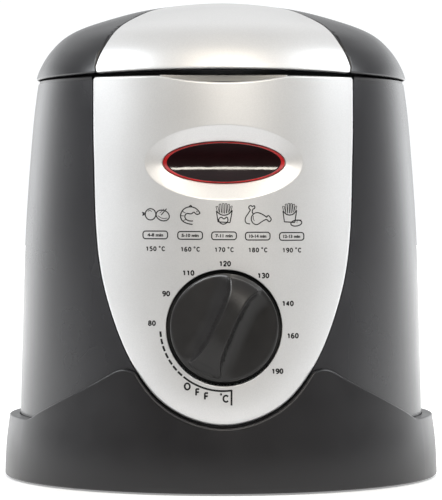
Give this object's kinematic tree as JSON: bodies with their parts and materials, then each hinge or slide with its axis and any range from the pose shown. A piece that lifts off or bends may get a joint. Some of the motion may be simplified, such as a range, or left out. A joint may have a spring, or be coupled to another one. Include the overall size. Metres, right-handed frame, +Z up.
{
  "type": "deep fryer",
  "caption": "Compact round deep fryer: dark body on a skirted base, silver front with dial and oval lamp window, hinged domed lid, lift-out wire basket with folding handle.",
  "frame": {"origin": "on the floor, under the centre of the part's bounding box and of the round body", "axes": "+Z up through the body's axis, -Y towards the front panel and dial, +X to the right seen from the front's back side"},
  "size_m": [0.204, 0.22, 0.2224],
  "materials": {
    "dark_gloss_plastic": "moulded charcoal polypropylene with a soft gloss",
    "dark_satin_plastic": "moulded charcoal plastic, satin",
    "silver_paint": "plastic with fine metallic silver paint",
    "black_plastic": "black phenolic plastic, satin",
    "red_lens": "dark red translucent acrylic",
    "lamp_glass": "neon lamp glass",
    "nonstick": "aluminium with grey non-stick coating",
    "aluminium": "cast aluminium",
    "steel": "zinc plated or stainless steel",
    "chrome_wire": "chromed steel wire",
    "rubber": "black rubber",
    "silicone": "grey silicone",
    "white_nylon": "natural polyamide",
    "wire_sleeve": "silicone rubber wire sleeve",
    "filter_mat": "fibre filter mat"
  },
  "bodies": {
    "housing": {"base_ring": "dark_satin_plastic", "base_plate": "dark_satin_plastic", "rubber_feet": "rubber", "base_screws": "steel", "body_shell": "dark_gloss_plastic", "front_panel": "silver_paint", "indicator_lens": "red_lens", "lamp_holder": "white_nylon", "indicator_lamps": "lamp_glass", "rim_collar": "dark_satin_plastic", "bowl_seal": "silicone", "inner_bowl": "nonstick", "heat_shield": "steel", "heater_plate": "aluminium", "heating_element": "steel", "heater_nuts": "steel", "thermal_fuse": "steel", "fuse_clamp": "steel", "thermostat_body": "white_nylon", "thermostat_bracket": "steel", "thermostat_nut": "steel", "bracket_screws": "steel", "sensor_bulb": "steel", "sensor_clip": "steel", "terminal_block": "white_nylon", "internal_wires": "wire_sleeve", "cord_gland": "black_plastic", "gland_nut": "black_plastic", "hinge_bracket": "dark_satin_plastic", "hinge_pin": "steel", "hinge_screws": "steel"},
    "dial": {"control_knob": "black_plastic", "thermostat_shaft": "steel", "knob_sleeve": "steel"},
    "lid": {"lid_shell": "dark_satin_plastic", "lid_trim": "silver_paint", "lid_inner_panel": "aluminium", "lid_gasket": "silicone", "lid_screws": "steel", "steam_filter": "filter_mat"},
    "vent_cover": {"filter_cover": "dark_satin_plastic"},
    "basket": {"basket_mesh": "chrome_wire", "basket_rim": "chrome_wire", "basket_bracket": "steel"},
    "basket_handle": {"handle_wire": "chrome_wire", "handle_grip": "black_plastic"}
  },
  "joints": [
    {"name": "lid_hinge", "type": "hinge", "parent": "housing", "child": "lid", "pos_m": [0, 0.095, 0.19], "axis": [-1, 0, 0], "range_deg": [0, 95]},
    {"name": "dial_turn", "type": "hinge", "parent": "housing", "child": "dial", "pos_m": [0, -0.0949, 0.0736], "axis": [0, 0.9981, -0.061], "range_deg": [-190, 105]},
    {"name": "vent_cover_lift", "type": "slide", "parent": "lid", "child": "vent_cover", "axis": [0, 0, 1], "range_m": [0, 0.012]},
    {"name": "basket_lift", "type": "slide", "parent": "housing", "child": "basket", "axis": [0, 0, 1], "range_m": [0, 0.076]},
    {"name": "handle_fold", "type": "hinge", "parent": "basket", "child": "basket_handle", "pos_m": [0, -0.0565, 0.177], "axis": [1, 0, 0], "range_deg": [0, 192]}
  ],
  "couplings": [
    {"joint": "basket_lift", "follows": "lid_hinge", "m_per_rad": 0.045},
    {"joint": "handle_fold", "follows": "lid_hinge", "ratio": 2}
  ]
}
